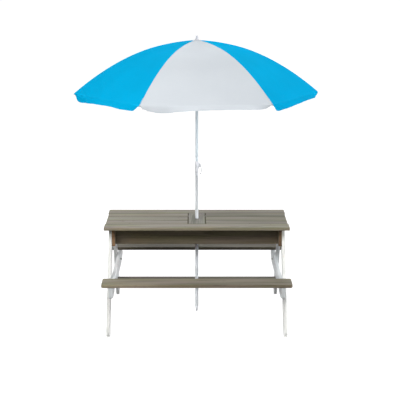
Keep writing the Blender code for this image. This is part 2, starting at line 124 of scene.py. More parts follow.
def make_stage():
    bm = bmesh.new()
    bmesh.ops.create_circle(bm, cap_ends=True, segments=96, radius=110)
    bmesh.ops.translate(bm, vec=(0, 0, -0.0004), verts=bm.verts)
    stage_piece("floor", bm, plain("floor", 0.30, 0.97))
    for name, radius, glow, hidden in (("backdrop", 95, 2.2, "visible_glossy"), ("backdrop_sheen", 96, 1.22, "visible_camera")):
        bm = bmesh.new()
        bmesh.ops.create_uvsphere(bm, u_segments=48, v_segments=24, radius=radius)
        o = stage_piece(name, bm, plain(name, 0.0, glow))
        o.visible_shadow = False
        setattr(o, hidden, False)

    world = bpy.data.worlds.new("studio")
    SCENE.world = world
    world.use_nodes = True
    t = world.node_tree
    back = t.nodes["Background"]
    at = t.nodes.new("ShaderNodeTexCoord")
    split = t.nodes.new("ShaderNodeSeparateXYZ")
    ramp = t.nodes.new("ShaderNodeMapRange")
    ramp.interpolation_type = "SMOOTHSTEP"
    for name, value in (("From Min", 0.0), ("From Max", 0.7), ("To Min", 0.075), ("To Max", 0.27)):
        ramp.inputs[name].default_value = value
    t.links.new(at.outputs["Generated"], split.inputs[0])
    t.links.new(split.outputs[2], ramp.inputs["Value"])
    t.links.new(ramp.outputs[0], back.inputs["Strength"])
    back.inputs["Color"].default_value = (1, 1, 1, 1)

    for name, place, size, power, tint, gloss in (
        ("key", (-2.0, -2.55, 2.80), 2.5, 97, (1.0, 0.99, 0.97), True),
        ("fill", (6.8, -2.3, 3.3), 4.0, 330, (0.98, 0.99, 1.0), True),
        ("side_left", (-4.8, -0.4, 1.1), 2.2, 34, (1.0, 1.0, 1.0), False),
        ("side_right", (4.8, -0.4, 1.1), 2.2, 56, (1.0, 1.0, 1.0), False),
        ("rear", (0.6, 4.8, 1.4), 2.8, 100, (1.0, 1.0, 1.0), False),
    ):
        lamp = bpy.data.lights.new(name, "AREA")
        lamp.shape, lamp.size, lamp.energy, lamp.color = "DISK", size, power, tint
        o = bpy.data.objects.new(name, lamp)
        SCENE.collection.objects.link(o)
        o.matrix_world = Matrix.Translation(place) @ (Vector((0, 0, 0.60)) - Vector(place)).to_track_quat("-Z", "Y").to_matrix().to_4x4()
        o.visible_camera = False
        o.visible_glossy = gloss

    # narrow spots for the pole alone, which stands in the shade of the parasol and of the table
    only = bpy.data.collections.new("pole_parts")
    for node in POLE_PARTS:
        only.objects.link(NODES[node])
    for name, far, stand, aim, cone, power, blend in (
        ("pole_high", 1.2, 0.75, 1.030, 22.0, 36, 0.4),
        ("pole_mid", 1.2, 0.60, 0.665, 13.0, 12, 0.5),
        ("pole_low", 5.0, 0.75, 0.268, 1.8, 600, 0.8),
        ("pole_foot", 5.0, 0.14, 0.112, 2.8, 330, 0.4),
    ):
        lamp = bpy.data.lights.new(name, "SPOT")
        lamp.energy, lamp.spot_size, lamp.spot_blend, lamp.shadow_soft_size = power, math.radians(cone), blend, 0.06
        o = bpy.data.objects.new(name, lamp)
        SCENE.collection.objects.link(o)
        o.matrix_world = Matrix.Translation((0, -far, stand)) @ Vector((0, far, aim - stand)).to_track_quat("-Z", "Y").to_matrix().to_4x4()
        o.visible_camera = o.visible_glossy = False
        o.light_linking.receiver_collection = only

    # the pale floor's bounce, which reaches the rounded toes of the legs from close below
    toes = bpy.data.collections.new("toes")
    for node in LEGS:
        toes.objects.link(NODES[node])
    for node in LEGS:
        lo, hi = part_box(node)
        front = lo[1] < 0
        lamp = bpy.data.lights.new("bounce_" + node, "AREA")
        lamp.shape, lamp.size, lamp.energy = "SQUARE", 0.04, 0.0075
        o = bpy.data.objects.new("bounce_" + node, lamp)
        SCENE.collection.objects.link(o)
        o.matrix_world = Matrix.Translation(((lo[0] + hi[0]) / 2, lo[1] + 0.006 if front else hi[1] - 0.006, 0.002)) @ Matrix.Rotation(math.pi, 4, "X")
        o.visible_camera = o.visible_glossy = False
        o.light_linking.receiver_collection = toes


make_camera()
make_stage()


# ------------------------------------------------------------------ materials
class Paint:
    """A material built from nodes around one Principled shader."""

    def __init__(self, name, **plain):
        self.m = bpy.data.materials.new(name)
        self.m.use_nodes = True
        self.t = self.m.node_tree
        self.t.nodes.clear()
        out = self.t.nodes.new("ShaderNodeOutputMaterial")
        self.p = self.t.nodes.new("ShaderNodeBsdfPrincipled")
        self.t.links.new(self.p.outputs[0], out.inputs[0])
        for key, value in plain.items():
            self.p.inputs[key.replace("_", " ")].default_value = value
        self.at = self.node("TexCoord", out="Object")

    def feed(self, socket, value):
        if isinstance(value, bpy.types.NodeSocket):
            self.t.links.new(value, socket)
        else:
            socket.default_value = value

    def node(self, kind, inputs=(), out=0, **settings):
        n = self.t.nodes.new("ShaderNode" + kind)
        for key, value in settings.items():
            setattr(n, key, value)
        for key, value in dict(inputs).items():
            self.feed(n.inputs[key], value)
        return n.outputs[out]

    def sum(self, kind, a, b=0.0, clamp=False):
        return self.node("Math", {0: a, 1: b}, operation=kind, use_clamp=clamp)

    def vec(self, kind, a, b=(0, 0, 0), out=0):
        return self.node("VectorMath", {0: a, 1: b}, out=out, operation=kind)

    def noise(self, v, scale=1.0, detail=3.0, rough=0.55, warp=0.0):
        return self.node("TexNoise", {"Vector": v, "Scale": scale, "Detail": detail, "Roughness": rough, "Distortion": warp})

    def step(self, value, low, high, a=0.0, b=1.0):
        return self.node(
            "MapRange", {"Value": value, "From Min": low, "From Max": high, "To Min": a, "To Max": b}, interpolation_type="SMOOTHSTEP"
        )

    def ramp(self, value, stops):
        n = self.t.nodes.new("ShaderNodeValToRGB")
        e = n.color_ramp.elements
        while len(e) < len(stops):
            e.new(0.5)
        for mark, (at, tint) in zip(e, stops):
            mark.position, mark.color = at, tint
        self.feed(n.inputs[0], value)
        return n.outputs[0]

    def mix(self, share, a, b, kind="MIX"):
        n = self.t.nodes.new("ShaderNodeMix")
        n.data_type, n.blend_type = "RGBA", kind
        self.feed(n.inputs[0], share)
        self.feed(n.inputs[6], a)
        self.feed(n.inputs[7], b)
        return n.outputs[2]

    def bump(self, height, distance, strength=1.0, over=None):
        got = {"Height": height, "Distance": distance, "Strength": strength}
        if over is not None:
            got["Normal"] = over
        return self.node("Bump", got)

    def set(self, **links):
        for key, value in links.items():
            self.feed(self.p.inputs[key.replace("_", " ")], value)
        return self.m


def turned(a):
    """Euler angles that turn a leg's own line onto X: a is its lean from upright in the YZ plane."""
    return (-(math.pi / 2 - a), 0.0, -math.pi / 2)


ALONG = {"x": (0, 0, 0), "y": (0, 0, -math.pi / 2), "front": turned(math.atan(0.62)), "back": turned(-math.atan(0.62))}
ALONG_AXIS = {"x": (1, 0, 0), "y": (0, 1, 0), "z": (0, 0, 1)}
GRAIN = {
    "x": (1, 0, 0),
    "y": (0, 1, 0),
    "front": (0, math.sin(math.atan(0.62)), math.cos(math.atan(0.62))),
    "back": (0, -math.sin(math.atan(0.62)), math.cos(math.atan(0.62))),
}


def grain_parts(P, node, way, seed, pith, ring):
    """The wood's own figure, solid through the board: growth rings round a pith outside it, streaks, fibres, knots."""
    lo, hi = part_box(node)
    centre = (lo + hi) / 2
    local = P.vec("SUBTRACT", P.at, tuple(centre))
    aligned = P.node("Mapping", {"Vector": local, "Rotation": ALONG[way]})
    p = P.vec("ADD", aligned, (seed * 1.37, 0, 0))
    salt = (seed * 3.1, seed * 1.7, seed * 2.3)
    wide = P.noise(P.vec("ADD", P.vec("MULTIPLY", p, (1.1, 7, 7)), salt), detail=2)
    fine = P.noise(P.vec("ADD", P.vec("MULTIPLY", p, (4, 40, 40)), salt), detail=2)
    cells = P.t.nodes.new("ShaderNodeTexVoronoi")
    cells.feature = "F1"
    P.feed(cells.inputs["Vector"], P.vec("ADD", P.vec("MULTIPLY", p, (11, 15, 15)), salt))
    pick = P.node("SeparateColor", {0: cells.outputs["Color"]})
    rare = P.step(pick, 0.955, 0.965)
    core = P.sum("MULTIPLY", P.step(cells.outputs["Distance"], 0.20, 0.10), rare)
    halo = P.sum("MULTIPLY", P.step(cells.outputs["Distance"], 0.75, 0.05), rare)
    cone = P.vec("SUBTRACT", P.vec("MULTIPLY", aligned, (0.035, 1, 1)), (0.0, pith[0], pith[1]))
    radius = P.vec("LENGTH", cone, out=1)
    radius = P.sum("ADD", radius, P.sum("MULTIPLY", wide, 0.022))
    radius = P.sum("ADD", radius, P.sum("MULTIPLY", fine, 0.0022))
    radius = P.sum("ADD", radius, P.sum("MULTIPLY", halo, 0.007))
    rings = P.sum("FRACT", P.sum("DIVIDE", radius, ring))
    late = P.sum("MULTIPLY", P.step(rings, 0.25, 0.86), P.step(rings, 1.0, 0.93))
    streak = P.noise(P.vec("ADD", P.vec("MULTIPLY", p, (3.0, 120, 120)), salt), detail=5, rough=0.68)
    broad = P.noise(P.vec("ADD", P.vec("MULTIPLY", p, (2.0, 34, 34)), salt), detail=3, rough=0.6)
    fibre = P.noise(P.vec("ADD", P.vec("MULTIPLY", p, (26, 900, 900)), salt), detail=3, rough=0.7)
    end = P.sum("ABSOLUTE", P.vec("DOT_PRODUCT", P.node("TexCoord", out="Normal"), GRAIN[way], out=1))
    end = P.step(end, 0.55, 0.85)
    return dict(p=p, late=late, streak=streak, broad=broad, fibre=fibre, core=core, halo=halo, end=end, centre=centre, lo=lo, hi=hi)


def edge_mask(P, g, width):
    """1 along the board's own edges, 0 on its faces, for a board square to the axes."""
    half = (g["hi"] - g["lo"]) / 2
    local = P.vec("ABSOLUTE", P.vec("SUBTRACT", P.at, tuple(g["centre"])))
    inset = P.node("SeparateXYZ", {0: P.vec("SUBTRACT", tuple(half), local)}).node
    faces = None
    for axis in range(3):
        one = P.step(inset.outputs[axis], width, width * 0.3)
        faces = one if faces is None else P.sum("ADD", faces, one)
    return P.sum("SUBTRACT", faces, 1.0, clamp=True)


RAW = ((0.46, 0.26, 0.14, 1), (0.21, 0.115, 0.06, 1))
# raw end grain for the right box end: the same wood darkened, painted shade for the right-hand side lying in less light
RAW_IN_SHADE = ((0.30, 0.19, 0.115, 1), (0.14, 0.085, 0.052, 1))
WORN = ((0.27, 0.20, 0.135, 1), (0.13, 0.092, 0.06, 1))


def stained(node, way, seed, pith, tone=1.0, warm=0.0, ring=0.0034, face="z", lines="", end=WORN, side=(1.12, 1.06, 0.98), run=None, foot=1.0):
    """Softwood board in a weathered grey-brown stain: grain standing out, thinner stain on edges, browner ends, and
    narrow faces tinted against the tops, partly real weathering and partly a painted reflection in place of the tops'
    grey sheen.
    face is the axis its broad faces look along; lines names the edges that meet a neighbour, darkened there as painted
    shade of the gap between boards, where the stain also lies thick;
    run is how strong the colour is at the board's two ends, a painted shade ramp along it; foot how strong it is along
    its lower edge, painted light where light reaches under an overhang."""
    P = Paint("stained_" + node)
    g = grain_parts(P, node, way, seed, pith, ring)
    salt = (seed * 2.9, seed * 4.1, seed * 1.3)
    band = P.noise(P.vec("ADD", P.vec("MULTIPLY", g["p"], (1.5, 21, 21)), salt), detail=2, rough=0.5)
    share = P.sum("ADD", P.sum("MULTIPLY", g["late"], 0.16), P.sum("MULTIPLY", g["streak"], 0.42))
    share = P.sum("ADD", share, P.sum("MULTIPLY", g["broad"], 0.62))
    share = P.sum("ADD", share, P.sum("MULTIPLY", band, 0.62))
    share = P.sum("ADD", share, P.sum("MULTIPLY", g["fibre"], 0.12))
    share = P.sum("SUBTRACT", share, 0.40)
    k = tone

    def tint(r, gr, b, m=1.0):
        return (r * k * m * (1 + 0.10 * warm), gr * k * m, b * k * m * (1 - 0.14 * warm), 1)

    mean = (0.325, 0.303, 0.247)
    base = P.ramp(share, [(0.28, tint(*mean, 1.32)), (0.45, tint(*mean, 1.10)), (0.62, tint(*mean, 0.88)), (0.86, tint(*mean, 0.56))])
    hue = P.noise(P.vec("ADD", P.vec("MULTIPLY", g["p"], (2.6, 30, 30)), (seed * 5.3, 1.0, 7.0)), detail=2)
    base = P.mix(P.step(hue, 0.50, 0.66), base, (0.97, 1.02, 0.88, 1), "MULTIPLY")
    base = P.mix(P.step(hue, 0.50, 0.34), base, (1.03, 0.985, 1.06, 1), "MULTIPLY")
    patch = P.noise(P.vec("MULTIPLY", g["p"], (3, 11, 11)), detail=3, rough=0.6)
    base = P.mix(P.step(patch, 0.54, 0.76, 0.0, 0.35), base, tint(0.40, 0.315, 0.21))
    base = P.mix(P.sum("MULTIPLY", g["core"], 0.8), base, (0.09, 0.06, 0.036, 1))
    base = P.mix(P.sum("MULTIPLY", g["halo"], 0.22), base, (0.20, 0.14, 0.08, 1))
    # narrow faces scaled by side against the broad ones: partly real weathering of the tops, partly a painted
    # reflection standing in for the grey sheen on the tops
    broad_face = P.sum("ABSOLUTE", P.vec("DOT_PRODUCT", P.node("TexCoord", out="Normal"), ALONG_AXIS[face], out=1))
    narrow = P.sum("MULTIPLY", P.step(broad_face, 0.75, 0.40), P.sum("SUBTRACT", 1.0, g["end"]))
    base = P.mix(narrow, base, side + (1,), "MULTIPLY")
    base = P.mix(P.sum("MULTIPLY", g["end"], 0.85), base, P.ramp(share, [(0.35, end[0]), (0.72, end[1])]))
    rub = P.sum("MULTIPLY", edge_mask(P, g, 0.0035), P.step(P.noise(P.at, 38, 4, 0.6), 0.48, 0.68))
    base = P.mix(P.sum("MULTIPLY", rub, 0.28), base, (0.46, 0.385, 0.275, 1))
    # darker along the edges that meet a neighbour: painted shade of the gap between boards, with the stain lying
    # thicker there too
    if lines:
        local = P.node("SeparateXYZ", {0: P.vec("SUBTRACT", P.at, tuple(g["centre"]))}).node
        half = (g["hi"] - g["lo"]) / 2
        gap_shade = None
        for edge in lines.split():
            axis = "xyz".index(edge[0])
            sign = 1.0 if edge[1] == "+" else -1.0
            off = P.sum("SUBTRACT", half[axis], P.sum("MULTIPLY", local.outputs[axis], sign))
            far = 0.0065 if (edge[0] == "y") == (way == "x") else 0.0045
            one = P.step(P.sum("ADD", off, P.sum("MULTIPLY", g["fibre"], 0.0012)), far, far * 0.4)
            gap_shade = one if gap_shade is None else P.sum("MAXIMUM", gap_shade, one)
        base = P.mix(P.sum("MULTIPLY", gap_shade, 0.85), base, (0.50, 0.48, 0.42, 1), "MULTIPLY")
    # colour scaled from one end of the board to the other: painted shade, the far end lying in less light
    if run:
        along = P.node("SeparateXYZ", {0: P.at}).node.outputs[0]
        shade_along = P.node("MapRange", {"Value": along, "From Min": g["lo"][0], "From Max": g["hi"][0], "To Min": run[0], "To Max": run[1]})
        base = P.mix(1.0, base, P.node("CombineColor", {0: shade_along, 1: shade_along, 2: shade_along}), "MULTIPLY")
    # lighter along the lower edge: painted light where light reaches in under an overhang
    if foot != 1.0:
        high = P.node("SeparateXYZ", {0: P.at}).node.outputs[2]
        low = P.step(high, g["lo"][2] + 0.030, g["lo"][2] + 0.004, 1.0, foot)
        base = P.mix(1.0, base, P.node("CombineColor", {0: low, 1: low, 2: low}), "MULTIPLY")
    relief = P.sum("ADD", P.sum("MULTIPLY", g["late"], 0.5), P.sum("MULTIPLY", g["streak"], 0.7))
    relief = P.sum("ADD", relief, P.sum("MULTIPLY", g["fibre"], 0.5))
    rough = P.sum("ADD", P.step(g["streak"], 0.3, 0.7, 0.48, 0.60), P.sum("MULTIPLY", g["end"], 0.2))
    P.p.inputs["Specular IOR Level"].default_value = 0.06
    return P.set(Base_Color=base, Roughness=rough, Normal=P.bump(relief, 0.00045, 0.75))


def painted_white(node, way, seed, pith, tone=(1.0, 1.0, 1.0), ring=0.0036):
    """The same softwood under white paint: brush lines, faint grain, a little yellow over knots, greyer end grain and
    scattered scuffs.
    """
    P = Paint("painted_" + node)
    g = grain_parts(P, node, way, seed, pith, ring)
    shade = P.sum("ADD", P.sum("MULTIPLY", g["streak"], 0.5), P.sum("MULTIPLY", g["broad"], 0.5))
    base = P.ramp(shade, [(0.25, (0.845, 0.85, 0.84, 1)), (0.55, (0.815, 0.82, 0.81, 1)), (0.85, (0.755, 0.76, 0.745, 1))])
    base = P.mix(1.0, base, tone + (1,), "MULTIPLY")
    base = P.mix(P.sum("MULTIPLY", g["core"], 0.35), base, (0.62, 0.52, 0.36, 1))
    base = P.mix(P.sum("MULTIPLY", g["halo"], 0.12), base, (0.70, 0.62, 0.47, 1))
    base = P.mix(P.sum("MULTIPLY", g["end"], 0.08), base, (0.64, 0.62, 0.57, 1))
    scuff = P.sum("MULTIPLY", P.step(P.noise(P.at, 55, 5, 0.65), 0.62, 0.74), P.step(P.noise(P.at, 7, 2), 0.5, 0.7))
    base = P.mix(P.sum("MULTIPLY", scuff, 0.22), base, (0.42, 0.38, 0.31, 1))
    relief = P.sum("ADD", P.sum("MULTIPLY", g["late"], 0.45), P.sum("MULTIPLY", g["streak"], 0.55))
    relief = P.sum("ADD", relief, P.sum("MULTIPLY", P.noise(P.at, 900, 2), 0.12))
    rough = P.step(g["streak"], 0.3, 0.7, 0.36, 0.48)
    P.p.inputs["Specular IOR Level"].default_value = 0.35
    return P.set(Base_Color=base, Roughness=rough, Normal=P.bump(relief, 0.00030, 0.7))


def coated_tube(name, tint, rough=0.48):
    """Thin steel tube under sprayed enamel: orange peel, slow tone changes, hairline scuffs along it."""
    P = Paint(name)
    slow = P.noise(P.vec("MULTIPLY", P.at, (30, 30, 5)), detail=2)
    line = P.noise(P.vec("MULTIPLY", P.at, (1600, 1600, 22)), detail=3, rough=0.7)
    base = P.mix(P.step(slow, 0.35, 0.68), tuple(c * 1.05 for c in tint[:3]) + (1,), tuple(c * 0.93 for c in tint[:3]) + (1,))
    base = P.mix(P.step(line, 0.64, 0.74, 0.0, 0.35), base, tuple(c * 0.72 for c in tint[:3]) + (1,))
    peel = P.noise(P.at, 1500, 2)
    r = P.step(line, 0.45, 0.75, rough, rough + 0.16)
    P.p.inputs["Specular IOR Level"].default_value = 0.16
    return P.set(Base_Color=base, Roughness=r, Normal=P.bump(peel, 0.00005, 0.5))


def moulded(name, tint, rough=0.42, gloss=0.5):
    """Moulded plastic: fine spark-eroded skin, slight flow marks, soft pale wear in scattered spots."""
    P = Paint(name)
    flow = P.noise(P.vec("MULTIPLY", P.at, (14, 14, 9)), detail=3, warp=1.2)
    base = P.mix(P.step(flow, 0.35, 0.70), tuple(c * 1.06 for c in tint[:3]) + (1,), tuple(c * 0.90 for c in tint[:3]) + (1,))
    speck = P.noise(P.at, 2600, 2)
    base = P.mix(P.step(P.noise(P.at, 240, 4, 0.7), 0.66, 0.78, 0.0, 0.25), base, tuple(min(1, c * 1.5 + 0.05) for c in tint[:3]) + (1,))
    r = P.step(speck, 0.35, 0.65, rough - 0.05, rough + 0.08)
    P.p.inputs["Specular IOR Level"].default_value = gloss
    return P.set(Base_Color=base, Roughness=r, Normal=P.bump(speck, 0.00004, 0.6))


def bare_steel(name, tint, rough=0.30):
    """Drawn or zinc-plated steel: lengthwise drawing lines, cloudy plating, a few dull spots."""
    P = Paint(name, Metallic=1.0)
    cloud = P.noise(P.at, 90, 4, 0.6)
    line = P.noise(P.vec("MULTIPLY", P.at, (2200, 2200, 60)), detail=2)
    base = P.mix(P.step(cloud, 0.35, 0.7), tuple(c * 1.08 for c in tint[:3]) + (1,), tuple(c * 0.82 for c in tint[:3]) + (1,))
    base = P.mix(P.step(P.noise(P.at, 330, 4, 0.7), 0.68, 0.80, 0.0, 0.5), base, (0.20, 0.17, 0.13, 1))
    r = P.sum("ADD", P.step(cloud, 0.3, 0.7, rough, rough + 0.18), P.sum("MULTIPLY", line, 0.08))
    return P.set(Base_Color=base, Roughness=r, Normal=P.bump(line, 0.00003, 0.5))


def woven(name, light, dark, hem_shade_tone=1.0, flap_shading_tone=1.0):
    """Plain-weave polyester for a parasol: 0.6 mm threads, double hems, stitch lines by seam, fold and hem.
    The UV map holds metres across and along the panel; three attributes hold the distance to seam, fold and hem."""
    P = Paint(name)
    uv = P.node("UVMap", uv_map="cloth")
    xy = P.node("SeparateXYZ", {0: uv}).node
    u, v = xy.outputs[0], xy.outputs[1]

    def at(name):
        return P.node("Attribute", out="Fac", attribute_name=name)

    seam, fold, hem = at("seam"), at("fold"), at("hem")
    thread = 2 * math.pi / 0.0012
    warp = P.sum("SINE", P.sum("MULTIPLY", u, thread))
    weft = P.sum("SINE", P.sum("MULTIPLY", v, thread))
    weave = P.sum("MULTIPLY", warp, weft)
    slub = P.noise(P.node("CombineXYZ", {0: P.sum("MULTIPLY", u, 900), 1: P.sum("MULTIPLY", v, 45), 2: 0.0}), detail=2)
    slub2 = P.noise(P.node("CombineXYZ", {0: P.sum("MULTIPLY", u, 45), 1: P.sum("MULTIPLY", v, 900), 2: 3.0}), detail=2)
    slow = P.noise(P.at, 5.5, 3, 0.55)
    share = P.sum("ADD", P.sum("MULTIPLY", P.sum("ADD", slub, slub2), 0.30), P.sum("MULTIPLY", slow, 0.55))
    share = P.sum("ADD", share, P.sum("MULTIPLY", weave, 0.05))
    base = P.mix(P.step(share, 0.35, 0.80), light[:3] + (1,), dark[:3] + (1,))
    # painted light: up to a fifth brighter towards the crown, where the cloth faces up, and the two tone arguments
    # scale the colour towards the hem and on the flap below the fold as painted shade and light; and a white patch sewn
    # over the panels' points
    pale = P.step(v, 0.42, 0.16, 1.0, 1.21)
    hem_shade = P.step(v, 0.44, 0.62, 1.0, hem_shade_tone)
    pale = P.sum("MULTIPLY", pale, hem_shade)
    pale = P.sum("MULTIPLY", pale, P.step(v, 0.690, 0.698, 1.0, flap_shading_tone))
    base = P.mix(1.0, base, P.node("CombineColor", {0: pale, 1: pale, 2: pale}), "MULTIPLY")
    patch = P.step(v, 0.0272, 0.0264)
    base = P.mix(patch, base, (0.80, 0.83, 0.86, 1))
    double = P.sum("MAXIMUM", P.step(hem, 0.0092, 0.0084), P.step(seam, 0.0058, 0.0050))
    base = P.mix(P.sum("MULTIPLY", double, 0.16), base, tuple(c * 0.86 for c in dark[:3]) + (1,))

    def stitches(distance, line, run, width=0.00045):
        """Dashes 2.6 mm long on the line this far away, counted along run."""
        on = P.step(P.sum("ABSOLUTE", P.sum("SUBTRACT", distance, line)), width * 1.5, width * 0.8)
        dash = P.step(P.sum("FRACT", P.sum("DIVIDE", run, 0.0034)), 0.74, 0.70)
        return P.sum("MULTIPLY", on, dash)

    sewn = P.sum("MAXIMUM", stitches(seam, 0.0042, v), stitches(hem, 0.0072, u))
    sewn = P.sum("MAXIMUM", sewn, stitches(fold, 0.0030, u))
    sewn = P.sum("MAXIMUM", sewn, stitches(v, 0.0240, u))
    base = P.mix(P.sum("MULTIPLY", sewn, 0.30), base, tuple(min(1.0, c * 1.15 + 0.03) for c in light[:3]) + (1,))
    groove = P.sum("MAXIMUM", P.step(P.sum("ABSOLUTE", P.sum("SUBTRACT", hem, 0.0088)), 0.0009, 0.0), P.step(P.sum("ABSOLUTE", P.sum("SUBTRACT", seam, 0.0054)), 0.0009, 0.0))
    height = P.sum("ADD", P.sum("MULTIPLY", weave, 0.10), P.sum("MULTIPLY", double, 1.2))
    height = P.sum("SUBTRACT", height, P.sum("MULTIPLY", groove, 0.5))
    height = P.sum("ADD", height, P.sum("MULTIPLY", sewn, 0.6))
    height = P.sum("ADD", height, P.sum("MULTIPLY", patch, 1.3))
    crease = P.noise(P.node("CombineXYZ", {0: P.sum("MULTIPLY", u, 16), 1: P.sum("MULTIPLY", v, 16), 2: 0.0}), detail=4, rough=0.5, warp=0.6)
    height2 = P.bump(crease, 0.0020, 0.35)
    P.p.inputs["Specular IOR Level"].default_value = 0.01
    return P.set(Base_Color=base, Roughness=P.step(share, 0.3, 0.8, 0.80, 0.90), Normal=P.bump(height, 0.00030, 0.6, height2))


# ------------------------------------------------------------------ CAD nodes: smooth shading and their materials
def dress(node, material, split=None):
    """Keeps the CAD node's shape: welds its triangles for shading and gives it its material."""
    o = NODES[node]
    me = o.data
    if "custom_normal" in me.attributes:
        me.attributes.remove(me.attributes["custom_normal"])
    me.polygons.foreach_set("use_smooth", [True] * len(me.polygons))
    weld = o.modifiers.new("weld", "WELD")
    weld.merge_threshold = 0.00002
    if split is None:
        even = o.modifiers.new("even", "WEIGHTED_NORMAL")
        even.mode, even.weight, even.keep_sharp = "FACE_AREA", 100, False
    else:
        cut = o.modifiers.new("cut", "EDGE_SPLIT")
        cut.split_angle = math.radians(split)
    me.materials.clear()
    me.materials.append(material)


LID = "y- y+ x%s"
for node, way, seed, pith, tone, warm, more in (
    ("rail_front", "x", 0.3, (-0.02, -0.060), 0.99, 0.0, dict(lines="y+")),
    ("rail_back", "x", 1.9, (0.03, -0.050), 0.98, 0.1, dict(lines="y-")),
    ("hub_board", "y", 2.7, (0.01, -0.055), 0.96, -0.35, dict(lines="x- x+ y- y+")),
    ("lid_left_slat_front", "x", 3.4, (0.02, -0.048), 1.00, 0.0, dict(lines=LID % "+")),
    ("lid_left_slat_mid", "x", 4.8, (-0.03, -0.062), 1.02, -0.1, dict(lines=LID % "+")),
    ("lid_left_slat_back", "x", 5.5, (0.00, -0.045), 0.98, 0.1, dict(lines=LID % "+")),
    # the right lid's slats darker than the left and darker towards the back: painted shade
    ("lid_right_slat_front", "x", 6.1, (-0.01, -0.052), 0.86, 0.0, dict(lines=LID % "-")),
    ("lid_right_slat_mid", "x", 7.3, (0.025, -0.060), 0.815, 0.1, dict(lines=LID % "-")),
    ("lid_right_slat_back", "x", 8.6, (-0.02, -0.050), 0.775, 0.0, dict(lines=LID % "-")),
    ("lid_left_batten_in", "y", 9.2, (0.0, -0.050), 0.75, 0.5, {}),
    ("lid_left_batten_out", "y", 10.4, (0.01, -0.040), 0.75, 0.5, {}),
    ("lid_right_batten_in", "y", 11.9, (-0.01, -0.045), 0.75, 0.5, {}),
    ("lid_right_batten_out", "y", 12.3, (0.0, -0.055), 0.75, 0.5, {}),
    # the front wall's low tone and lighter foot: painted shade under the tabletop's overhang, lifting near the bottom
    # where light reaches
    ("box_wall_front", "x", 13.7, (0.055, 0.01), 0.60, 1.0, dict(face="y", foot=1.22)),
    ("box_wall_back", "x", 14.2, (-0.055, -0.01), 0.64, 1.0, dict(face="y")),
    ("box_end_left", "y", 15.8, (0.055, 0.02), 0.78, 1.0, dict(face="x", end=RAW)),
    # the right end board darker than the left in tone and raw end grain: painted shade
    ("box_end_right", "y", 16.6, (-0.055, 0.01), 0.70, 1.0, dict(face="x", end=RAW_IN_SHADE)),
    ("tub_ledger_front", "x", 17.1, (0.03, 0.03), 0.75, 0.8, {}),
    ("tub_ledger_back", "x", 18.5, (-0.03, 0.03), 0.75, 0.8, {}),
    # the front bench darker towards its right end: painted shade
    ("bench_front", "x", 19.4, (0.02, -0.060), 0.98, 0.4, dict(run=(0.92, 0.64))),
    # the back bench and the stretcher board toned dark, the back bench's narrow faces darker still: painted shade under
    # the table
    ("bench_back", "x", 20.9, (-0.03, -0.055), 0.46, 0.1, dict(side=(0.62, 0.59, 0.58))),
    ("stretcher_board", "x", 21.6, (0.01, -0.045), 0.56, 0.1, {}),
):
    dress(node, stained(node, way, seed, pith, tone, warm, **more))

# each part's tone is painted light and shade: the left front leg darker, the right legs and the beams lighter, the
# beams also cooler, for how light falls on each
for node, way, seed, pith, tone in (
    ("beam_left", "y", 30.1, (0.05, 0.01), (1.06, 1.10, 1.13)),
    ("beam_right", "y", 31.6, (-0.05, 0.02), (1.06, 1.10, 1.13)),
    ("leg_front_left", "front", 32.2, (0.06, 0.01), (0.80, 0.80, 0.786)),
    ("leg_front_right", "front", 33.9, (-0.05, 0.02), (0.935, 0.935, 0.925)),
    ("leg_back_left", "back", 34.4, (0.05, -0.02), (0.885, 0.893, 0.90)),
    ("leg_back_right", "back", 35.8, (-0.06, 0.01), (0.90, 0.91, 0.92)),
):
    dress(node, painted_white(node, way, seed, pith, tone), 30)

TUB_RED = moulded("tub_red", colour("c23a2c"), 0.35)
TUB_BLUE = moulded("tub_blue", colour("2763b0"), 0.35)
POLE_LOWER = coated_tube("pole_lower_enamel", (0.61, 0.64, 0.667))
POLE_UPPER = coated_tube("pole_upper_enamel", (0.64, 0.725, 0.775))
PLASTIC_LIGHT = moulded("plastic_light", (0.70, 0.72, 0.75), 0.42, 0.25)
PLASTIC_GREY = moulded("plastic_grey", (0.78, 0.80, 0.84), 0.42, 0.2)
PLASTIC_LEVER = moulded("plastic_lever", (0.30, 0.31, 0.335), 0.42, 0.2)
PLASTIC_DARK = moulded("plastic_dark", (0.45, 0.48, 0.52), 0.42, 0.2)
FINIAL = moulded("plastic_finial", (0.68, 0.69, 0.74), 0.45, 0.2)
ZINC = bare_steel("zinc_plate", colour("b9bbb8"))
ROD = bare_steel("spring_rod", colour("a9adb0"), 0.34)

dress("tub_left", TUB_RED, 40)
dress("tub_right", TUB_BLUE, 40)
dress("pole_lower", POLE_LOWER, 40)
dress("pole_upper", POLE_UPPER, 40)
dress("pole_spike", PLASTIC_GREY, 40)
dress("pole_sleeve", PLASTIC_LIGHT, 40)
dress("clamp_collar", PLASTIC_GREY, 40)
dress("clamp_lever", PLASTIC_LEVER, 40)
dress("guide_bushing", PLASTIC_DARK, 40)
dress("crown", PLASTIC_LIGHT, 40)
dress("finial", FINIAL, 40)
dress("runner", PLASTIC_LIGHT, 40)
dress("lever_pin", ZINC, 40)
for end in ("front_left", "front_right", "back_left", "back_right"):
    dress("leg_bolt_" + end, ZINC, 40)
for k in range(1, 7):
    dress("rib_%d" % k, ROD, 40)
    dress("stretcher_%d" % k, ROD, 40)


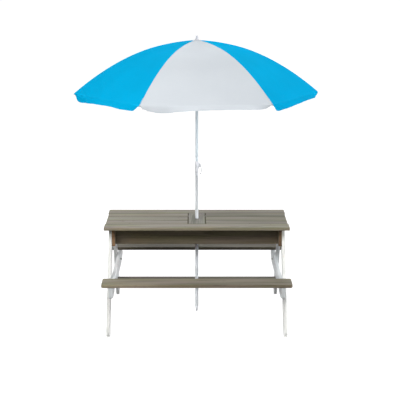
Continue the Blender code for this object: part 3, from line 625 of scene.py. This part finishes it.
# ------------------------------------------------------------------ canopy
RIB_AT = [math.radians(-85.3 + 60 * k) for k in range(6)]
EDGE, PEAK, DROP, INNER = 0.6245, 1.441, 0.677, 0.0115
FLAP = 0.038
HANG = {  # how far each panel's loose hem hangs below its fold, across the panel
    0: [(0, 0.004), (0.02, 0.006), (0.035, 0.014), (0.05, 0.023), (0.064, 0.031), (0.09, 0.038), (0.122, 0.041), (0.275, 0.035), (0.422, 0.028), (0.6, 0.026), (0.79, 0.032), (0.91, 0.032), (0.938, 0.022), (0.97, 0.008), (1, 0.003)],
    1: [(0, 0.006), (0.025, 0.018), (0.072, 0.028), (0.147, 0.036), (0.205, 0.037), (0.292, 0.029), (0.443, 0.022), (0.665, 0.018), (0.815, 0.0215), (0.905, 0.0240), (0.953, 0.0200), (0.975, 0.012), (0.99, 0.005), (1, 0.003)],
    2: [(0, 0.003), (0.025, 0.010), (0.04, 0.018), (0.061, 0.033), (0.10, 0.039), (0.15, 0.040), (0.27, 0.034), (0.393, 0.028), (0.593, 0.0195), (0.818, 0.0205), (0.93, 0.0235), (0.969, 0.0185), (0.985, 0.014), (1, 0.010)],
    3: [(0, 0.003), (0.03, 0.020), (0.07, 0.031), (0.20, 0.034), (0.42, 0.024), (0.62, 0.027), (0.80, 0.034), (0.93, 0.030), (0.97, 0.014), (1, 0.003)],
    4: [(0, 0.003), (0.03, 0.018), (0.07, 0.030), (0.22, 0.030), (0.38, 0.021), (0.58, 0.030), (0.78, 0.036), (0.93, 0.032), (0.97, 0.015), (1, 0.003)],
    5: [(0, 0.003), (0.03, 0.020), (0.07, 0.033), (0.24, 0.036), (0.44, 0.027), (0.60, 0.020), (0.80, 0.027), (0.93, 0.031), (0.97, 0.015), (1, 0.003)],
}


def curve_at(points, x):
    """Smooth value at x through points."""
    for (x0, y0), (x1, y1) in zip(points, points[1:]):
        if x <= x1:
            s = (x - x0) / (x1 - x0)
            return y0 + (y1 - y0) * s * s * (3 - 2 * s)
    return points[-1][1]


def rib_line(k, r):
    a = RIB_AT[k % 6]
    return Vector((r * math.sin(a), -r * math.cos(a), PEAK - DROP * r * r))


def cloth(k, r, t):
    """Panel k at distance r out along its ribs and share t across, with its small wrinkles."""
    p = rib_line(k, r).lerp(rib_line(k + 1, r), t)
    inside = math.sin(math.pi * t)
    out = r / EDGE
    wave = 0.0032 * noise.noise(Vector((r * 5.0 + 7.3 * k, t * 3.0, 1.7 * k))) * inside * out
    wave += 0.0014 * noise.noise(Vector((r * 14.0, t * 10.0 + 3.1 * k, 5.0))) * inside * out
    wave += 0.0008 * math.sin(t * math.pi * 7 + k) * inside * math.exp(-(((r - 0.06) / 0.06) ** 2))
    # drawn down onto the ribs just below the crown, and a little slack between them
    wave -= (0.0016 + 0.0042 * inside) * math.exp(-(((r - 0.145) / 0.075) ** 2))
    wave += 0.0003 * math.sin(t * 71 + 2.2 * noise.noise(Vector((t * 9, k, 0)))) * inside * math.exp(-(EDGE - r) / 0.020)
    edge = min(t, 1 - t) * r
    wave += 0.0007 * math.exp(-((edge / 0.0035) ** 2))
    p.z += wave
    return p


def hem_depth(t):
    """The flap's cut depth: full, with rounded corners short of each rib tip."""
    near = min(t, 1 - t) * EDGE
    if near >= 0.034:
        return 1.0
    x = max(0.0, (near - 0.004) / 0.030)
    return max(0.10, math.sqrt(max(0.0, 1 - (1 - x) ** 2)))


def flap(k, s, t):
    """The loose hem below the fold: s runs from the fold, 0, to its lower edge, 1."""
    e = cloth(k, EDGE, t)
    out = Vector((e.x, e.y, 0)).normalized()
    hang = curve_at(HANG[k], t)
    # by the ribs it hangs straight down, further in it swings out
    free = max(0.0, min(1.0, (min(t, 1 - t) * EDGE - 0.035) / 0.11))
    free = free * free * (3 - 2 * free)
    depth = hang * 1.003 + (max(FLAP * hem_depth(t), hang) - hang * 1.003) * free
    lean = math.acos(max(0.42, min(1.0, hang / depth)))
    start = math.radians(30 + 16 * free)
    # the tilt eases from the roof's own slope at the fold to the flap's
    p = e.copy()
    n = 8
    for i in range(n):
        q = (i + 0.5) / n
        if i / n >= s:
            break
        step = depth / n if (i + 1) / n <= s else depth * (s - i / n)
        tilt = start + (lean - start) * min(1.0, q * 2.6)
        p += (out * math.sin(tilt) - Vector((0, 0, 1)) * math.cos(tilt)) * step
    ripple = 0.0022 * math.sin(t * 19 + 1.9 * k) * s * math.sin(math.pi * t) + 0.0010 * math.sin(t * 53 + k) * s * math.sin(math.pi * t)
    return p + out * ripple, depth


COLS = sorted({0.0, 0.004, 0.008, 0.014, 0.022, 0.034, 0.048, 0.064, 0.082, 0.104} | {round(0.13 + 0.037 * i, 4) for i in range(10)} | {0.5})
COLS = COLS + [1 - t for t in reversed(COLS[:-1])]
ROWS = [INNER, 0.02, 0.03, 0.042, 0.056, 0.07, 0.085] + [0.10 + 0.02 * i for i in range(26)] + [0.609, 0.616, 0.621, EDGE]
ROWS = sorted({round(r, 5) for r in ROWS})
FOLDS = [0.06, 0.14, 0.26, 0.42, 0.60, 0.78, 0.92, 1.0]
BANDS = (0.0, 0.14, 0.26, 0.36, 0.46, 1.0)  # the cloth is cut into five bands along each rib


def arc(r):
    return 0.5 * r * math.sqrt(1 + (2 * DROP * r) ** 2) + math.asinh(2 * DROP * r) / (4 * DROP)


def make_canopy():
    # the last two numbers scale the colour towards the hem and on the flap: painted shade and light
    blue = woven("parasol_blue", (0.0, 0.465, 0.84), (0.0, 0.417, 0.765), 0.94, 0.96)
    white = woven("parasol_white", (0.685, 0.73, 0.775), (0.645, 0.69, 0.74), 1.0, 1.05)
    for k in range(6):
        rows = []
        for r in ROWS:
            rows.append([(cloth(k, r, t), (t - 0.5) * r, arc(r), min(t, 1 - t) * r, arc(EDGE) - arc(r), 1.0) for t in COLS])
        for s in FOLDS:
            row = []
            for t in COLS:
                p, depth = flap(k, s, t)
                row.append((p, (t - 0.5) * EDGE, arc(EDGE) + s * depth, min(t, 1 - t) * EDGE, s * depth, (1 - s) * depth))
            rows.append(row)
        whole = bmesh.new()
        grid = [[whole.verts.new(c[0]) for c in row] for row in rows]
        for i in range(len(grid) - 1):
            for j in range(len(COLS) - 1):
                whole.faces.new((grid[i][j], grid[i + 1][j], grid[i + 1][j + 1], grid[i][j + 1]))
        whole.normal_update()
        normals = [[v.normal.copy() for v in row] for row in grid]
        whole.free()
        half = COLS.index(0.5)
        for side, columns, rib in (("a", range(0, half + 1), k), ("b", range(half, len(COLS)), (k + 1) % 6)):
            for band in range(len(BANDS) - 1):
                picked = [
                    i
                    for i in range(len(rows))
                    if i >= len(ROWS) and band == len(BANDS) - 2
                    or i < len(ROWS)
                    and BANDS[band] - 1e-6 <= ROWS[i] <= BANDS[band + 1] + 1e-6
                ]
                columns = list(columns)
                name = "canopy_%d%s_%d" % (k + 1, side, band + 1)
                me = bpy.data.meshes.new(name)
                verts, faces, nor, uvs, dist = [], [], [], [], []
                for i in picked:
                    for j in columns:
                        c = rows[i][j]
                        verts.append(c[0])
                        nor.append(normals[i][j])
                        uvs.append((c[1], c[2]))
                        dist.append(c[3:])
                w = len(columns)
                for a in range(len(picked) - 1):
                    for b in range(w - 1):
                        faces.append((a * w + b, (a + 1) * w + b, (a + 1) * w + b + 1, a * w + b + 1))
                me.from_pydata(verts, [], faces)
                me.polygons.foreach_set("use_smooth", [True] * len(me.polygons))
                layer = me.uv_layers.new(name="cloth")
                for loop in me.loops:
                    layer.data[loop.index].uv = uvs[loop.vertex_index]
                for n, key in enumerate(("seam", "fold", "hem")):
                    me.attributes.new(key, "FLOAT", "POINT").data.foreach_set("value", [d[n] for d in dist])
                me.normals_split_custom_set_from_vertices([tuple(v) for v in nor])
                me.materials.append(white if k % 2 else blue)
                o = bpy.data.objects.new(name, me)
                SCENE.collection.objects.link(o)
                a = RIB_AT[rib]
                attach(o, "rib_arm_%d" % (rib + 1))
                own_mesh(o)
                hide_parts("canopy")


make_canopy()


# ------------------------------------------------------------------ pockets on the rib ends
def make_pocket(k, material):
    """A little cloth pocket, sewn under the corner of the canopy, that the end of rib k sits in."""
    r0, r1, wide, gap_shade = 0.586, 0.6272, 0.0050, 0.0037
    a = RIB_AT[k]
    out, along = Vector((math.sin(a), -math.cos(a), 0)), Vector((math.cos(a), math.sin(a), 0))
    rows, n = [], 16
    stations = [0.0, 0.10, 0.30, 0.55, 0.75, 0.88, 0.95, 0.985, 1.0]
    for i, s in enumerate(stations):
        r = r0 + (r1 - r0) * s
        close = math.sqrt(max(0.0, 1 - max(0.0, (s - 0.80) / 0.20) ** 2))
        w, d = max(0.0004, wide * close), max(0.0004, gap_shade * close)
        middle = out * r + Vector((0, 0, PEAK - 0.0041 - DROP * r * r))
        slope = Vector((0, 0, 1)) + out * (2 * DROP * r)
        slope.normalize()
        ring = []
        for j in range(n + 1):
            q = math.radians(108) + math.radians(324) * j / n
            pucker = 1 + 0.05 * math.sin(3 * q + 1.3 * k + 9 * s)
            ring.append(middle + along * (w * pucker * math.cos(q)) + slope * (d * math.sin(q)))
        rows.append(ring)
    bm = bmesh.new()
    layer = bm.loops.layers.uv.new("cloth")
    grid = [[bm.verts.new(p) for p in ring] for ring in rows]
    girth = sum((rows[2][j] - rows[2][j + 1]).length for j in range(n))
    for i in range(len(grid) - 1):
        for j in range(n):
            f = bm.faces.new((grid[i][j], grid[i][j + 1], grid[i + 1][j + 1], grid[i + 1][j]))
            for loop, (a1, b1) in zip(f.loops, ((j, i), (j + 1, i), (j + 1, i + 1), (j, i + 1))):
                loop[layer].uv = (girth * a1 / n, 0.5 + (r1 - r0) * stations[b1])
    name = "rib_pocket_%d" % (k + 1)
    me = bpy.data.meshes.new(name)
    bm.to_mesh(me)
    bm.free()
    me.polygons.foreach_set("use_smooth", [True] * len(me.polygons))
    for key in ("seam", "fold", "hem"):
        far = [abs(v.co.dot(out) - r0) if key == "hem" else 0.05 for v in me.vertices]
        me.attributes.new(key, "FLOAT", "POINT").data.foreach_set("value", far)
    me.materials.append(material)
    o = bpy.data.objects.new(name, me)
    SCENE.collection.objects.link(o)
    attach(o, "rib_arm_%d" % (k + 1))


POCKET_BLUE = woven("pocket_blue", (0.0, 0.465, 0.84), (0.0, 0.417, 0.765))
POCKET_WHITE = woven("pocket_white", (0.685, 0.73, 0.775), (0.645, 0.69, 0.74))
for k in range(6):
    make_pocket(k, POCKET_BLUE if k in (0, 3, 4) else POCKET_WHITE)


# ------------------------------------------------------------------ screws and nuts
def facing(at, way, spin=0.0):
    """Matrix that stands a piece made about +Z on the point at, facing way."""
    turn = Vector(way).to_track_quat("Z", "Y").to_matrix().to_4x4()
    return Matrix.Translation(at) @ turn @ Matrix.Rotation(spin, 4, "Z")


def screw_head(bm, place, r=0.0034):
    """Countersunk head, its rim just proud of the wood, with a cross recess."""
    n = 24
    rim = [bm.verts.new(place @ Vector((r * math.cos(2 * math.pi * i / n), r * math.sin(2 * math.pi * i / n), -0.0002))) for i in range(n)]
    top = [bm.verts.new(place @ Vector((0.93 * r * math.cos(2 * math.pi * i / n), 0.93 * r * math.sin(2 * math.pi * i / n), 0.00035))) for i in range(n)]
    for i in range(n):
        bm.faces.new((rim[i], rim[(i + 1) % n], top[(i + 1) % n], top[i]))
    w, l = 0.13 * r, 0.62 * r
    cross = [(w, w), (w, l), (-w, l), (-w, w), (-l, w), (-l, -w), (-w, -w), (-w, -l), (w, -l), (w, -w), (l, -w), (l, w)]
    upper = [bm.verts.new(place @ Vector((x, y, 0.00045))) for x, y in cross]
    lower = [bm.verts.new(place @ Vector((x * 0.8, y * 0.8, -0.0009))) for x, y in cross]
    edges = [bm.edges.get((top[i], top[(i + 1) % n])) for i in range(n)]
    edges += [bm.edges.new((upper[i], upper[(i + 1) % 12])) for i in range(12)]
    bmesh.ops.triangle_fill(bm, use_beauty=True, use_dissolve=False, edges=edges)
    for i in range(12):
        bm.faces.new((upper[i], upper[(i + 1) % 12], lower[(i + 1) % 12], lower[i]))
    bm.faces.new(lower)


def cap_nut(bm, place, across=0.010, tall=0.0052):
    """Washer, hexagon with rounded corners, and the domed end over the thread."""

    def ring(r, z, sides=24, hexed=0.0):
        got = []
        for i in range(sides):
            q = 2 * math.pi * i / sides
            flat = (across / 2) / math.cos(((q + math.pi / 6) % (math.pi / 3)) - math.pi / 6)
            rr = r + (min(flat, across * 0.555) - r) * hexed
            got.append(bm.verts.new(place @ Vector((rr * math.cos(q), rr * math.sin(q), z))))
        return got

    rings = [ring(0.0058, 0.0001), ring(0.0062, 0.0004), ring(0.0062, 0.0012), ring(0.0059, 0.0015)]
    rings += [ring(0.0047, 0.0015), ring(0, 0.0019, hexed=1.0), ring(0, tall - 0.0008, hexed=1.0), ring(0.0047, tall)]
    rings += [ring(0.0038, tall + 0.0001), ring(0.0037, tall + 0.0014), ring(0.0031, tall + 0.0027), ring(0.0019, tall + 0.0036), ring(0.0006, tall + 0.0039)]
    for a, b in zip(rings, rings[1:]):
        for i in range(24):
            bm.faces.new((a[i], a[(i + 1) % 24], b[(i + 1) % 24], b[i]))
    bm.faces.new(rings[-1])


def fixings(name, body, screws, nuts=()):
    bm = bmesh.new()
    for i, (at, way) in enumerate(screws):
        screw_head(bm, facing(at, way, 0.7 * i))
    for i, (at, way) in enumerate(nuts):
        cap_nut(bm, facing(at, way, 0.35 * i))
    bmesh.ops.recalc_face_normals(bm, faces=bm.faces)
    me = bpy.data.meshes.new(name)
    bm.to_mesh(me)
    bm.free()
    me.materials.append(ZINC)
    o = bpy.data.objects.new(name, me)
    SCENE.collection.objects.link(o)
    cut = o.modifiers.new("cut", "EDGE_SPLIT")
    cut.split_angle = math.radians(35)
    me.polygons.foreach_set("use_smooth", [True] * len(me.polygons))
    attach(o, body)


table, nuts = [], []
for sx in (-1, 1):
    for sy in (-1, 1):
        for z in (0.440, 0.475):
            table.append(((sx * 0.4332, sy * 0.122, z), (sx, 0, 0)))
        for d, z in ((-0.015, 0.478), (0.015, 0.440)):
            y = 0.158 + 0.62 * (0.475 - z) - 0.0412 + d
            table.append(((sx * 0.4495, sy * y, z), (sx, 0, 0)))
        table.append(((sx * 0.425, sy * 0.026, 0.1758), (0, 0, -1)))
        nuts.append(((sx * 0.4170, sy * 0.268, 0.231), (-sx, 0, 0)))
fixings("table_fixings", "table", table, nuts)
for side, sx in (("left", -1), ("right", 1)):
    held = [((sx * x, y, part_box("lid_%s_batten_in" % side)[0][2] - 0.0002), (0, 0, -1)) for x in (0.105, 0.355) for y in (-0.068, 0.0, 0.068)]
    fixings("lid_%s_screws" % side, "lid_" + side, held)
